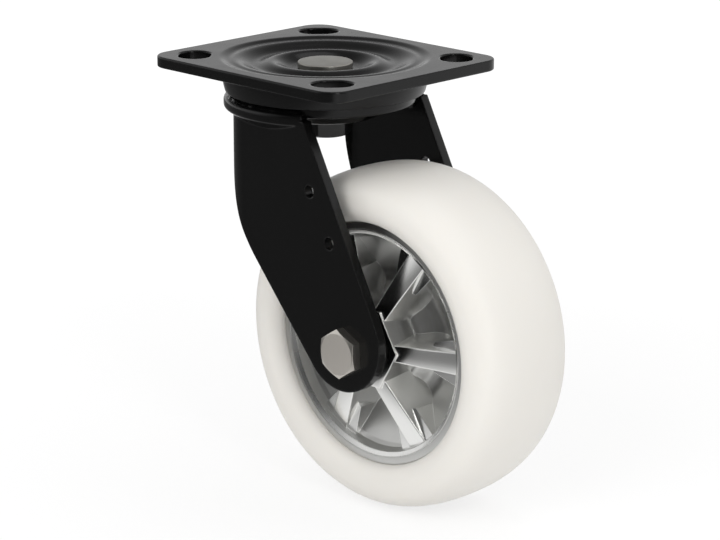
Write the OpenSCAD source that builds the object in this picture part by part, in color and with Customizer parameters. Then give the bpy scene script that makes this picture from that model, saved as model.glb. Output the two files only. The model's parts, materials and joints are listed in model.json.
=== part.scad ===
// Industrial swivel castor: top plate, fork and spoked wheel with a solid white tyre.
// Origin on the swivel axis at the top face of the plate, +Z up, +X trailing, Y along the axle.

/* [Overall] */
// Height from the floor to the top face of the plate
overall_h = 190; // [185:1:215]
// Horizontal distance from the swivel axis to the axle
swivel_offset = 50; // [46:1:56]

/* [Top plate] */
// Plate length along X
plate_l = 114; // [112:1:130]
// Plate width along Y
plate_w = 105; // [102:1:125]
// Sheet thickness of the plate
plate_t = 4.9; // [4.5:0.1:6]
// Corner radius of the plate
plate_corner_r = 10; // [6:1:14]
// Distance between slot centres along X
slot_spacing_x = 85; // [83:1:90]
// Distance between slot centres along Y
slot_spacing_y = 76; // [75:1:82]
// Width of a slot
slot_w = 14; // [9:0.5:15]
// End-to-end length of a slot
slot_l = 18; // [15.5:0.5:20]

/* [Swivel head] */
// Outer diameter of the dust skirt
skirt_d = 90.4; // [88:0.2:91]
// Sheet thickness of the dust skirt
skirt_t = 2.4; // [1.5:0.1:2.6]
// Depth of the skirt's lower edge below the top face
skirt_z = 14.4; // [13:0.1:14.8]
// Diameter of the upper balls
upper_ball_d = 8; // [6:0.5:8.5]
// Number of upper balls
upper_ball_n = 24; // [12:1:26]
// Diameter of the lower balls
lower_ball_d = 6; // [5:0.5:6.5]
// Pitch diameter of the lower ball row
lower_pitch_d = 38; // [35:0.5:40]
// Number of lower balls
lower_ball_n = 17; // [10:1:18]
// Running gap round every ball
ball_gap = 0.25; // [0.2:0.05:0.35]
// Diameter of the king pin
king_pin_d = 14; // [12:0.5:16]
// Diameter of the king pin head
king_head_d = 24; // [20:0.5:26]
// Height of the king pin head
king_head_h = 2.9; // [2:0.1:3.5]
// Width across the flats of the king pin nut
king_nut_af = 21; // [19:0.5:24]
// Height of the king pin nut
king_nut_h = 6.5; // [5:0.5:9]

/* [Fork] */
// Gap between the hub and each leg
leg_gap = 6.8; // [5.6:0.1:8]
// Sheet thickness of the legs
leg_t = 4.5; // [3.5:0.1:5]
// Radius of the leg's round end
leg_end_r = 22.3; // [20:0.1:23]
// Lean of the leg's front edge from the upright
leg_front_lean = 27.6; // [25:0.2:29]
// Lean of the leg's lower rear edge from the upright
leg_rear_lean = 41; // [38:0.5:44]
// Where the rear edge of the leg runs, behind the swivel axis
leg_rear_x = 22; // [21:0.5:24]
// Radius of the sweep of the rear edge
leg_sweep_r = 72; // [50:1:80]
// Outside radius of the rolled rear edge
leg_roll_r = 15; // [12:0.5:18]
// Diameter of the two tapped holes in each leg
tapped_d = 5.5; // [4:0.5:7]
// Thickness of the crown
crown_t = 5.5; // [5:0.1:6]
// Thickness of the leg's collar round the crown
collar_t = 4.6; // [4:0.1:5]

/* [Wheel] */
// Wheel diameter
wheel_d = 150; // [140:1:160]
// Width of the tyre
tyre_w = 54.4; // [50:0.2:56]
// Squareness of the tread: a higher value makes it flatter across
tread_power = 4.8; // [3:0.1:8]
// Squareness of the shoulder: a higher value makes it fuller
shoulder_power = 2.35; // [2:0.05:4]
// Outer diameter of the wheel centre
rim_d = 107; // [100:1:112]
// Width over the faces of the rim
rim_w = 43.2; // [40:0.2:46]
// Number of ribs on each side
rib_n = 6; // [5:1:8]
// Turn of the ribs about the axle
rib_turn = 1; // [0:1:60]
// Width of a rib at the hub
rib_hub_w = 7; // [5:0.5:8]
// Width of a rib at the rim
rib_rim_w = 10; // [8.5:0.5:12]
// Draft of the sides of a rib
rib_draft = 9; // [4:1:14]
// Width across the flats of the hub
hub_af = 34; // [33:0.5:37]
// Thickness of the web between hub and rim
web_t = 7; // [5:0.5:9]

/* [Axle and bearings] */
// Diameter of the axle bolt
axle_d = 12; // [10:0.5:12]
// Width across the flats of the bolt head and nut
axle_af = 19; // [17:0.5:22]
// Height of the bolt head
head_h = 4.8; // [4:0.1:8]
// Height of the axle nut
nut_h = 10; // [6:0.5:12]
// Outer diameter of the nut's washer
washer_d = 24; // [22:0.5:28]
// Thickness of the nut's washer
washer_t = 2.5; // [1.5:0.1:3]
// Outer diameter of a bearing
bearing_d = 28; // [27:0.5:29]
// Width of a bearing
bearing_w = 8; // [7:0.5:9]
// Thickness of a bearing's inner ring
inner_ring_t = 2.4; // [2.2:0.1:2.6]
// Thickness of a bearing's outer ring
outer_ring_t = 2.4; // [2.2:0.1:2.6]
// Number of balls in a bearing
bearing_ball_n = 9; // [6:1:10]

/* [Hidden] */
$fn = 96;

// Clearances
fit_gap = 0.05;
weld_gap = 0.05;
run_gap = 0.4;
crown_gap = 3;
eps = 0.01;

// Heights of the swivel head, measured down from the top face
axle_z = -(overall_h - wheel_d / 2);
seat_z = -5;
pin_top_z = seat_z + king_head_h;
upper_ball_z = -10.3;
crown_top_z = upper_ball_z - upper_ball_d / 2 + 0.8;
crown_low_z = crown_top_z - crown_t;
lower_ball_z = crown_low_z + 0.8 - lower_ball_d / 2;
race_top_z = lower_ball_z - lower_ball_d / 2 + 0.8;
race_low_z = race_top_z - 4.2;
nut_low_z = race_low_z - king_nut_h;
collar_top_z = -(skirt_z + 2.1);

// Radii
skirt_r = skirt_d / 2;
press_r = skirt_r + 1.3;
press_in_r = king_head_d / 2 + 2.6;
press_pts = [[press_r, 0], [skirt_r - 3.2, -1], [skirt_r - 5.6, -0.75], [skirt_r - 14.7, -3.3],
    [skirt_r - 21.8, -1.67], [press_in_r, seat_z]];
press_low_pts = concat([[skirt_r - 4.2, 0]], [for (k = [3:5]) press_pts[k]]);
crown_r = skirt_r - skirt_t - crown_gap;
collar_in_r = crown_r + weld_gap;
collar_r = collar_in_r + collar_t;
upper_pitch_r = crown_r - upper_ball_d / 2 - 0.3;
lower_pitch_r = lower_pitch_d / 2;
rim_r = rim_d / 2;
wheel_r = wheel_d / 2;
hub_y = tyre_w / 2 - 0.2;
leg_in_y = hub_y + leg_gap;
leg_y = leg_in_y + leg_t;
axle_r = axle_d / 2;
bearing_r = bearing_d / 2;
inner_r = axle_r + fit_gap + inner_ring_t;
outer_r = bearing_r - outer_ring_t;
ball_pitch_r = (inner_r + outer_r) / 2;
bearing_ball_d = outer_r - inner_r + 1.5;
bearing_y = hub_y - 0.5 - bearing_w / 2;

// Round end of a leg in X and Z, and where its straight front edge runs into it
end_c = [swivel_offset - 2, axle_z + 4.3];
front_n = [cos(leg_front_lean), sin(leg_front_lean)];
front_up = [-sin(leg_front_lean), cos(leg_front_lean)];
front_tan = end_c + leg_end_r * front_n;

// Points on a smooth step between two [r, z] stations
function step_pts(a, b, n) = [for (i = [0:n - 1])
    let (u = i / n, s = (1 - cos(180 * u)) / 2) [a[0] + (b[0] - a[0]) * u, a[1] + (b[1] - a[1]) * s]];

// Points on an arc about c, from angle a0 to a1
function arc_pts(c, r, a0, a1, n) = [for (i = [0:n])
    let (a = a0 + (a1 - a0) * i / n) [c[0] + r * cos(a), c[1] + r * sin(a)]];

// Stations of the pressed rings, joined by smooth steps
function pressed_line(pts, drop) = [for (k = [0:len(pts) - 2])
    for (p = step_pts(pts[k], pts[k + 1], 5)) [p[0], p[1] - drop]];

// Outline of a rectangle with round corners
module rounded_rect(l, w, r) {
    polygon([for (c = [[1, 1, 0], [-1, 1, 90], [-1, -1, 180], [1, -1, 270]])
        for (p = arc_pts([c[0] * (l / 2 - r), c[1] * (w / 2 - r)], r, c[2], c[2] + 90, 9)) p]);
}

// Slot with round ends, along X
module slot(l, w) {
    for (s = [-1, 1]) translate([s * (l - w) / 2, 0]) circle(d = w);
    square([l - w, w], center = true);
}

// Hexagon prism along Z with a turned chamfer on its outer end
module hex_block(af, h, chamfer_angle = 25) {
    corner_r = af / 2 / cos(30);
    intersection() {
        linear_extrude(h) circle(r = corner_r, $fn = 6);
        rotate_extrude() polygon([[0, 0], [corner_r + 1, 0],
            [corner_r + 1, h - (corner_r + 1 - af * 0.475) * tan(chamfer_angle)],
            [af * 0.475, h], [0, h]]);
    }
}

// Ring about the axle from y0 to y1
module axle_ring(r_out, r_in, y0, y1) {
    translate([swivel_offset, y0, axle_z]) rotate([-90, 0, 0]) difference() {
        cylinder(r = r_out, h = y1 - y0);
        translate([0, 0, -1]) cylinder(r = r_in, h = y1 - y0 + 2);
    }
}

// Groove for a ball row: a torus about Z
module ball_track(pitch_r, ball_d, z) {
    translate([0, 0, z]) rotate_extrude() translate([pitch_r, 0]) circle(d = ball_d + 2 * ball_gap);
}

// Ball row about Z
module ball_row(n, pitch_r, ball_d, z) {
    for (i = [0:n - 1]) rotate([0, 0, 360 * i / n]) translate([pitch_r, 0, z]) sphere(d = ball_d, $fn = 32);
}

// Plate pressed into rings round the king pin, with a slot across each corner
module top_plate() {
    overlap = 0.6;
    lower_line = pressed_line(press_low_pts, plate_t);
    color("#2a2a2a") difference() {
        union() {
            translate([0, 0, -plate_t]) linear_extrude(plate_t) difference() {
                rounded_rect(plate_l, plate_w, plate_corner_r);
                circle(r = press_r + overlap);
            }
            rotate_extrude() polygon(concat(
                [[0, seat_z], [0, seat_z - plate_t], [press_in_r, seat_z - plate_t]],
                [for (i = [len(lower_line) - 1:-1:0]) lower_line[i]],
                [[press_r + overlap, -plate_t], [press_r + overlap, 0]],
                pressed_line(press_pts, 0), [[press_in_r, seat_z]]));
        }
        for (sx = [-1, 1], sy = [-1, 1])
            translate([sx * slot_spacing_x / 2, sy * slot_spacing_y / 2, -plate_t - 1])
                rotate([0, 0, -sx * sy * atan2(slot_spacing_x, slot_spacing_y)])
                    linear_extrude(plate_t + 2) slot(slot_l, slot_w);
        translate([0, 0, -30]) cylinder(d = king_pin_d + 2 * fit_gap, h = 40);
        ball_track(upper_pitch_r, upper_ball_d, upper_ball_z);
    }
}

// Drawn ring that closes the ball race from outside, drawn in towards its lower edge
module dust_skirt() {
    taper = 1.5;
    depth = skirt_z - plate_t;
    outer = [for (i = [0:6]) let (u = i / 6) [skirt_r - taper * u * u, -plate_t - depth * u]];
    in_r = skirt_r - skirt_t;
    color("#3a3a3a") rotate_extrude() polygon(concat(outer,
        [[skirt_r - taper - 1.2, -skirt_z], [in_r, -plate_t - depth * 0.4], [in_r, -plate_t]]));
}

// Pin with a flat round head, riveted over a hexagon nut
module king_pin() {
    edge = 0.4;
    head_r = king_head_d / 2;
    color("#8d8b86") rotate_extrude() polygon([
        [0, pin_top_z], [head_r - edge, pin_top_z], [head_r, pin_top_z - edge], [head_r, seat_z],
        [king_pin_d / 2, seat_z], [king_pin_d / 2, nut_low_z], [0, nut_low_z]]);
}

// Nut that holds the lower race up
module king_pin_nut() {
    color("#4a4a4a") difference() {
        translate([0, 0, race_low_z]) mirror([0, 0, 1]) hex_block(king_nut_af, king_nut_h);
        translate([0, 0, nut_low_z - 1]) cylinder(d = king_pin_d + 2 * fit_gap, h = king_nut_h + 2);
    }
}

// Dished ring under the crown
module lower_race() {
    rim_out = lower_pitch_r + lower_ball_d * 1.4;
    color("#1c1c1c") difference() {
        rotate_extrude() polygon([
            [king_pin_d / 2 + fit_gap, race_low_z], [king_nut_af * 0.6, race_low_z],
            [rim_out - 3.5, race_top_z - 1.6], [rim_out, race_top_z + 2.2], [rim_out - 2.4, race_top_z + 2.2],
            [rim_out - 4.6, race_top_z], [king_pin_d / 2 + fit_gap, race_top_z]]);
        ball_track(lower_pitch_r, lower_ball_d, lower_ball_z);
    }
}

// Upper ball row
module upper_balls() {
    color("#b5b5b5") ball_row(upper_ball_n, upper_pitch_r, upper_ball_d, upper_ball_z);
}

// Lower ball row
module lower_balls() {
    color("#b5b5b5") ball_row(lower_ball_n, lower_pitch_r, lower_ball_d, lower_ball_z);
}

// Round crown of the fork, with a ball track on each face
module fork_crown() {
    edge = 1;
    color("#202020") difference() {
        rotate_extrude() polygon([
            [king_pin_d / 2 + 2, crown_low_z], [crown_r - edge, crown_low_z], [crown_r, crown_low_z + edge],
            [crown_r, crown_top_z - edge], [crown_r - edge, crown_top_z], [king_pin_d / 2 + 2, crown_top_z]]);
        ball_track(upper_pitch_r, upper_ball_d, upper_ball_z);
        ball_track(lower_pitch_r, lower_ball_d, lower_ball_z);
    }
}

// Side outline of a leg, drawn in X and Z: its edges run tangent into the round end
module leg_outline() {
    top_z = crown_low_z - weld_gap;
    rear_n = [-cos(leg_rear_lean), -sin(leg_rear_lean)];
    front_top = [front_tan[0] - (top_z - front_tan[1]) * tan(leg_front_lean), top_z];
    // The sweep touches the upright rear edge and the lower rear edge
    sweep_x = leg_sweep_r - leg_rear_x;
    sweep_z = (rear_n * end_c + leg_end_r - leg_sweep_r - rear_n[0] * sweep_x) / rear_n[1];
    polygon(concat([front_top, [-leg_rear_x, top_z]],
        arc_pts([sweep_x, sweep_z], leg_sweep_r, 180, 180 + leg_rear_lean, 12),
        arc_pts(end_c, leg_end_r, 180 + leg_rear_lean, 360 + leg_front_lean, 24)));
}

// Plan section of a leg on the -Y side: flat in front, its rear edge rolled inwards
module leg_section() {
    roll_a = 40;
    front_x = swivel_offset + leg_end_r * 1.2;
    roll_c = [-leg_rear_x + 0.4 + leg_roll_r * sin(roll_a), -leg_y + leg_roll_r];
    polygon(concat([[front_x, -leg_in_y], [front_x, -leg_y]],
        arc_pts(roll_c, leg_roll_r, 270, 270 - roll_a, 8),
        arc_pts(roll_c, leg_roll_r - leg_t, 270 - roll_a, 270, 8)));
}

// Leg on the -Y side: blade, collar round the crown with its weld, axle hole and tapped holes
module leg() {
    collar_from = 208;
    collar_to = 302;
    bead_r = 1.5;
    ledge_z = crown_low_z - 0.8;
    tapped = [for (p = [[64, 10.5], [40.3, 9.5]]) front_tan + p[0] * front_up - p[1] * front_n];
    color("#202020") difference() {
        union() {
            intersection() {
                rotate([90, 0, 0]) linear_extrude(leg_y + 10) leg_outline();
                translate([0, 0, -overall_h]) linear_extrude(overall_h) leg_section();
            }
            rotate([0, 0, collar_from]) rotate_extrude(angle = collar_to - collar_from) polygon([
                [collar_in_r, collar_top_z], [collar_r - 1.2, collar_top_z], [collar_r, collar_top_z - 1.4],
                [collar_r, collar_top_z - 3.4], [collar_r - 1.2, collar_top_z - 5],
                [leg_y + 0.4, collar_top_z - 8.6], [leg_in_y + 1.3, collar_top_z - 8.6],
                [leg_in_y + 1.3, ledge_z], [collar_in_r, ledge_z]]);
            rotate([0, 0, collar_from + 6]) rotate_extrude(angle = collar_to - collar_from - 8)
                translate([collar_in_r + bead_r + 0.3, collar_top_z - 0.4]) circle(r = bead_r);
        }
        translate([swivel_offset, 0, axle_z]) rotate([90, 0, 0])
            cylinder(r = axle_r + fit_gap, h = 2 * leg_y);
        for (p = tapped) translate([p[0], 0, p[1]]) rotate([90, 0, 0]) cylinder(d = tapped_d, h = 2 * leg_y);
    }
}

module fork_leg_near() { leg(); }

module fork_leg_far() { mirror([0, 1, 0]) leg(); }

// Hexagon bolt through legs, spacers and bearings
module axle_bolt() {
    tip = leg_y + washer_t + nut_h + 2.5;
    color("#b9b3aa") translate([swivel_offset, -leg_y, axle_z]) {
        rotate([90, 26, 0]) hex_block(axle_af, head_h);
        rotate([-90, 0, 0]) {
            cylinder(r = axle_r, h = leg_y + tip - 1);
            translate([0, 0, leg_y + tip - 1]) cylinder(r1 = axle_r, r2 = axle_r - 1, h = 1);
        }
    }
}

module axle_washer() { color("#b9b3aa") axle_ring(washer_d / 2, axle_r + fit_gap, leg_y, leg_y + washer_t); }

module axle_nut() {
    color("#b9b3aa") difference() {
        translate([swivel_offset, leg_y + washer_t, axle_z]) rotate([-90, 0, 0]) hex_block(axle_af, nut_h);
        translate([swivel_offset, leg_y, axle_z]) rotate([-90, 0, 0])
            cylinder(r = axle_r + fit_gap, h = washer_t + nut_h + 1);
    }
}

// Tube between a leg and the inner ring of a bearing
module end_spacer() {
    color("#3c3c3c") axle_ring(inner_r, axle_r + fit_gap, -leg_in_y, -bearing_y - bearing_w / 2);
}

module spacer_near() { end_spacer(); }

module spacer_far() { mirror([0, 1, 0]) end_spacer(); }

module bearing_spacer() {
    reach = bearing_y - bearing_w / 2;
    color("#8d8d8d") axle_ring(inner_r, axle_r + fit_gap, -reach, reach);
}

// Groove for the balls of a bearing on the -Y side
module bearing_track() {
    translate([swivel_offset, -bearing_y, axle_z]) rotate([90, 0, 0]) rotate_extrude()
        translate([ball_pitch_r, 0]) circle(d = bearing_ball_d + 2 * ball_gap);
}

// Inner ring of a bearing on the -Y side
module bearing_inner() {
    color("#9a9a9a") difference() {
        axle_ring(inner_r, axle_r + fit_gap, -bearing_y - bearing_w / 2, -bearing_y + bearing_w / 2);
        bearing_track();
    }
}

module bearing_inner_near() { bearing_inner(); }

module bearing_inner_far() { mirror([0, 1, 0]) bearing_inner(); }

// Outer ring of a bearing on the -Y side
module bearing_outer() {
    color("#9a9a9a") difference() {
        axle_ring(bearing_r, outer_r, -bearing_y - bearing_w / 2, -bearing_y + bearing_w / 2);
        bearing_track();
    }
}

module bearing_outer_near() { bearing_outer(); }

module bearing_outer_far() { mirror([0, 1, 0]) bearing_outer(); }

// Balls of a bearing on the -Y side
module bearing_balls() {
    color("#c4c4c4") translate([swivel_offset, -bearing_y, axle_z]) rotate([90, 0, 0])
        ball_row(bearing_ball_n, ball_pitch_r, bearing_ball_d, 0);
}

module bearing_balls_near() { bearing_balls(); }

module bearing_balls_far() { mirror([0, 1, 0]) bearing_balls(); }

// Seal in the outer face of a bearing on the -Y side
module bearing_seal() {
    seal_t = 0.9;
    face_y = bearing_y + bearing_w / 2;
    color("#1a1a1a") axle_ring(outer_r - fit_gap, inner_r + run_gap, -face_y, -face_y + seal_t);
}

module bearing_seal_near() { bearing_seal(); }

module bearing_seal_far() { mirror([0, 1, 0]) bearing_seal(); }

// Solid tyre, turned about the axle: full tread and shoulders, sides that curve in to the rim
module tyre() {
    side_y = tyre_w / 2;
    bore_r = rim_r + fit_gap;
    edge_y = rim_w / 2 + 0.1;
    depth = wheel_r - bore_r;
    knee_w = 0.35;
    knee_a = acos(pow(knee_w, tread_power / 2));
    knee_y = side_y * pow(sin(knee_a), 2 / shoulder_power);
    outer = [for (i = [0:14]) let (a = knee_a * i / 14)
        [bore_r + depth * pow(cos(a), 2 / tread_power), side_y * pow(sin(a), 2 / shoulder_power)]];
    side = [for (i = [1:6]) let (a = 15 * i)
        [bore_r + depth * knee_w * (1 - sin(a)), edge_y + (knee_y - edge_y) * cos(a)]];
    half = concat(outer, side);
    color("#ece9e3") translate([swivel_offset, 0, axle_z]) rotate([90, 0, 0]) rotate_extrude()
        polygon(concat(half, [for (i = [len(half) - 1:-1:1]) [half[i][0], -half[i][1]]]));
}

// Half space above the plane through three points
module above(p, q, r) {
    n = cross(q - p, r - p);
    translate(p) rotate([0, acos(n[2] / norm(n)), atan2(n[1], n[0])])
        translate([-60, -60, 0]) cube([120, 120, 60]);
}

// One rib on one side, along +X: sloping top, drafted sides, a triangular gusset beside each rim end
module rib() {
    r1 = 12;
    r2 = rim_r - 3.6;
    top1 = hub_y - 0.8;
    top2 = rim_w / 2 - 4;
    w1 = rib_hub_w / 2;
    lean = tan(rib_draft);
    w2 = rib_rim_w / 2;
    spread = atan2(w2 - w1 - (top1 - top2) * lean, r2 - r1);
    intersection() {
        rotate([90, 0, 0]) translate([0, 0, -25]) linear_extrude(50)
            polygon([[r1, 0], [r2, 0], [r2, top2], [17, top1], [r1, top1]]);
        union() for (s = [-1, 1]) rotate([0, 0, s * spread]) rotate([90, 0, 90]) linear_extrude(rim_r)
            polygon([[-w1 - top1 * lean, 0], [w1 + top1 * lean, 0], [w1, top1], [-w1, top1]]);
    }
    foot = web_t / 2 + 3;
    rm = 33;
    bm = w1 + (top1 - foot) * lean + (rm - r1) * tan(spread);
    reach = w2 + 6.5;
    for (s = [0, 1]) mirror([0, s, 0]) difference() {
        linear_extrude(top2) polygon([[rm - 3, 0], [r2, 0], [r2, reach], [rm, bm]]);
        above([rm, bm, foot], [r2, reach, top2 - 1.5], [r2, w2, top2]);
    }
}

// Die-cast centre: rim, web whose faces rise to the rim, six-sided hub and ribs on both sides
module wheel_centre() {
    face_y = rim_w / 2;
    lip_r = rim_r - 3.3;
    bevel_r = rim_r - 5.4;
    wall_r = rim_r - 6.4;
    web_y = web_t / 2;
    floor_y = face_y - 7;
    hub_corner = hub_af / 2 / cos(180 / rib_n);
    half = [[rim_r, face_y], [lip_r, face_y], [bevel_r, face_y - 1], [wall_r, floor_y + 1.5],
        [wall_r - 1.5, floor_y], [30, web_y + 1.5], [24, web_y + 3], [19, web_y + 8], [15, web_y + 8]];
    color("#c9c9c9") translate([swivel_offset, 0, axle_z]) rotate([90, 0, 0]) difference() {
        union() {
            rotate_extrude()
                polygon(concat(half, [for (i = [len(half) - 1:-1:0]) [half[i][0], -half[i][1]]]));
            rotate([0, 0, rib_turn]) translate([0, 0, -hub_y]) linear_extrude(2 * hub_y)
                circle(r = hub_corner, $fn = rib_n);
            for (s = [0, 1]) mirror([0, 0, s]) for (i = [0:rib_n - 1])
                rotate([0, 0, (rib_turn + 360 * i / rib_n)]) rib();
        }
        translate([0, 0, -hub_y - 1]) cylinder(r = outer_r - 0.5, h = 2 * hub_y + 2);
        for (s = [0, 1]) mirror([0, 0, s]) translate([0, 0, bearing_y - bearing_w / 2])
            cylinder(r = bearing_r + fit_gap, h = bearing_w + 3);
    }
}

top_plate();
dust_skirt();
king_pin();
king_pin_nut();
lower_race();
upper_balls();
lower_balls();
fork_crown();
fork_leg_near();
fork_leg_far();
axle_bolt();
axle_washer();
axle_nut();
spacer_near();
spacer_far();
bearing_spacer();
bearing_inner_near();
bearing_inner_far();
tyre();
wheel_centre();
bearing_outer_near();
bearing_outer_far();
bearing_balls_near();
bearing_balls_far();
bearing_seal_near();
bearing_seal_far();
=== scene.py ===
"""Looks of an industrial swivel castor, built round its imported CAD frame.

Sizes are in millimetres in the part's own frame: origin on the swivel axis at the top face of the
plate, +Z up, +X towards the axle, the bolt head on the -Y side.
"""

import json
import logging
import math
from dataclasses import dataclass, field
from enum import Enum
from typing import Any, Callable, Iterable, Sequence

import bmesh
import bpy
from bmesh.types import BMesh, BMEdge, BMVert
from mathutils import Matrix, Vector, noise

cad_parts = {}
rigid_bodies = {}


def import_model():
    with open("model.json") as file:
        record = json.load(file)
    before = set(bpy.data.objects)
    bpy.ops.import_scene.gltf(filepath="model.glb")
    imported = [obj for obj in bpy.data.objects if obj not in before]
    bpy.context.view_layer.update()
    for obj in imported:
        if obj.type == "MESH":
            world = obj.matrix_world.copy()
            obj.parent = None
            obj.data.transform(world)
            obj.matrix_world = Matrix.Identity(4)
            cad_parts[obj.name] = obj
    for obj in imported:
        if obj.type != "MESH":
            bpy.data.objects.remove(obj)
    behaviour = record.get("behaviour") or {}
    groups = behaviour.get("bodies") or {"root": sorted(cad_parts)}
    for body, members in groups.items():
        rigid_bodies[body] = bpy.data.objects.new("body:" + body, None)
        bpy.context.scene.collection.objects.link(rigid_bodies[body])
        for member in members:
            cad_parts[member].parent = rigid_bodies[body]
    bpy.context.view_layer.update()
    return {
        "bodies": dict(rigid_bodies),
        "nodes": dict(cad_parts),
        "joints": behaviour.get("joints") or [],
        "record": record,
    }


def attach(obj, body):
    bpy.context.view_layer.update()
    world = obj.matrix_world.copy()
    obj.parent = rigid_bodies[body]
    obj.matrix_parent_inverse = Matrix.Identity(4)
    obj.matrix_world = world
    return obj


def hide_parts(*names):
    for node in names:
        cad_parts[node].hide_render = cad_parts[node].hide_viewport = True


LOG = logging.getLogger("castor")
MM = 0.001
TURN = 2.0 * math.pi
Point = tuple[float, float]


class Body(str, Enum):
    """Rigid bodies of the frame."""

    PLATE = "plate"
    FORK = "fork"
    WHEEL = "wheel"


class Slot(str, Enum):
    """Material slots of the record."""

    BLACK = "black_paint"
    DARK = "dark_steel"
    PLATED = "plated_steel"
    BEARING = "bearing_steel"
    CAST = "cast_aluminium"
    NYLON = "white_nylon"
    RUBBER = "seal_rubber"


class Side(Enum):
    """Sides of the castor along the axle."""

    NEAR = -1
    FAR = 1


# Shader helpers


def linear(code: str) -> tuple[float, float, float, float]:
    """Turns an sRGB hex colour into linear RGBA.

    Args:
        code: Colour such as "#1d1d1d".

    Returns:
        The linear colour with full alpha.
    """
    parts = [int(code[i : i + 2], 16) / 255.0 for i in (1, 3, 5)]
    made = [c / 12.92 if c <= 0.04045 else ((c + 0.055) / 1.055) ** 2.4 for c in parts]
    return made[0], made[1], made[2], 1.0


def add_node(
    tree: bpy.types.NodeTree, kind: str, settings: dict[str, Any] | None = None, **links: Any
) -> bpy.types.Node:
    """Adds a node, sets its properties and fills its inputs.

    Args:
        tree: Node tree that gets the node.
        kind: Node type.
        settings: Properties of the node.
        links: Input names with underscores for spaces; a value is a constant or an output socket.

    Returns:
        The new node.
    """
    made = tree.nodes.new(kind)
    for key, value in (settings or {}).items():
        setattr(made, key, value)
    for key, value in links.items():
        name = key.replace("_", " ")
        target = made.inputs[int(key[1:])] if key[0] == "i" and key[1:].isdigit() else made.inputs[name]
        if isinstance(value, bpy.types.NodeSocket):
            tree.links.new(value, target)
        else:
            target.default_value = value
    return made


def new_material(name: str) -> tuple[bpy.types.Material, bpy.types.NodeTree]:
    """Makes an empty node material.

    Args:
        name: Name of the material.

    Returns:
        The material and its node tree.
    """
    made = bpy.data.materials.new(name)
    made.use_nodes = True
    made.node_tree.nodes.clear()
    return made, made.node_tree


class Finish:
    """A surface finish that makes one material, once."""

    name: str = "finish"
    _made: dict[str, bpy.types.Material] = {}

    def shade(self, tree: bpy.types.NodeTree) -> bpy.types.Node:
        """Builds the surface shader and returns its node."""
        raise NotImplementedError

    def material(self) -> bpy.types.Material:
        """Returns the finish's material, made at its first use."""
        if self.name not in Finish._made:
            made, tree = new_material(self.name)
            surface = self.shade(tree)
            add_node(tree, "ShaderNodeOutputMaterial", Surface=surface.outputs[0])
            Finish._made[self.name] = made
        return Finish._made[self.name]


def grain(tree: bpy.types.NodeTree, period_mm: float, detail: float = 3.0) -> bpy.types.NodeSocket:
    """Adds noise with a given real period.

    Args:
        tree: Node tree that gets the nodes.
        period_mm: Distance between noise features.
        detail: Octaves of the noise.

    Returns:
        The noise factor.
    """
    coords = add_node(tree, "ShaderNodeTexCoord")
    scale = 1.0 / (period_mm * MM)
    made = add_node(tree, "ShaderNodeTexNoise", Vector=coords.outputs["Object"], Scale=scale, Detail=detail)
    return made.outputs[0]


def spread(
    tree: bpy.types.NodeTree, factor: bpy.types.NodeSocket, low: float, high: float
) -> bpy.types.NodeSocket:
    """Maps a factor between two values.

    Args:
        tree: Node tree that gets the node.
        factor: Factor from 0 to 1.
        low: Value at 0.25, where noise seldom falls below.
        high: Value at 0.75.

    Returns:
        The mapped value.
    """
    return add_node(
        tree, "ShaderNodeMapRange", Value=factor, From_Min=0.25, From_Max=0.75, To_Min=low, To_Max=high
    ).outputs[0]


@dataclass(frozen=True)
class PowderCoat(Finish):
    """Satin powder coat on sheet steel: fine orange peel over a dark base."""

    name: str = "satin_black_coat"
    colour: str = "#090909"
    rough_low: float = 0.18
    rough_high: float = 0.24
    shine: float = 0.28
    peel_mm: float = 0.9

    def shade(self, tree: bpy.types.NodeTree) -> bpy.types.Node:
        """Builds the coat over edges softened by its thickness."""
        soft = add_node(tree, "ShaderNodeBevel", {"samples": 6}, Radius=1.0 * MM)
        peel = add_node(
            tree,
            "ShaderNodeBump",
            Height=grain(tree, self.peel_mm, 2.0),
            Strength=0.10,
            Distance=0.03 * MM,
            Normal=soft.outputs[0],
        )
        return add_node(
            tree,
            "ShaderNodeBsdfPrincipled",
            Base_Color=linear(self.colour),
            Roughness=spread(tree, grain(tree, 14.0), self.rough_low, self.rough_high),
            Specular_IOR_Level=self.shine,
            Normal=peel.outputs[0],
        )


@dataclass(frozen=True)
class PlatedSteel(Finish):
    """Plated or ground steel with a faint satin grain."""

    name: str = "plated_steel"
    colour: str = "#e6e1da"
    rough_low: float = 0.56
    rough_high: float = 0.64
    grain_mm: float = 1.6

    def shade(self, tree: bpy.types.NodeTree) -> bpy.types.Node:
        """Builds the metal with a grain in its roughness and height."""
        soft = add_node(tree, "ShaderNodeBevel", {"samples": 6}, Radius=0.3 * MM)
        bump = add_node(
            tree,
            "ShaderNodeBump",
            Height=grain(tree, self.grain_mm),
            Strength=0.06,
            Distance=0.03 * MM,
            Normal=soft.outputs[0],
        )
        return add_node(
            tree,
            "ShaderNodeBsdfPrincipled",
            Base_Color=linear(self.colour),
            Metallic=1.0,
            Roughness=spread(tree, grain(tree, 5.0), self.rough_low, self.rough_high),
            Normal=bump.outputs[0],
        )


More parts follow.
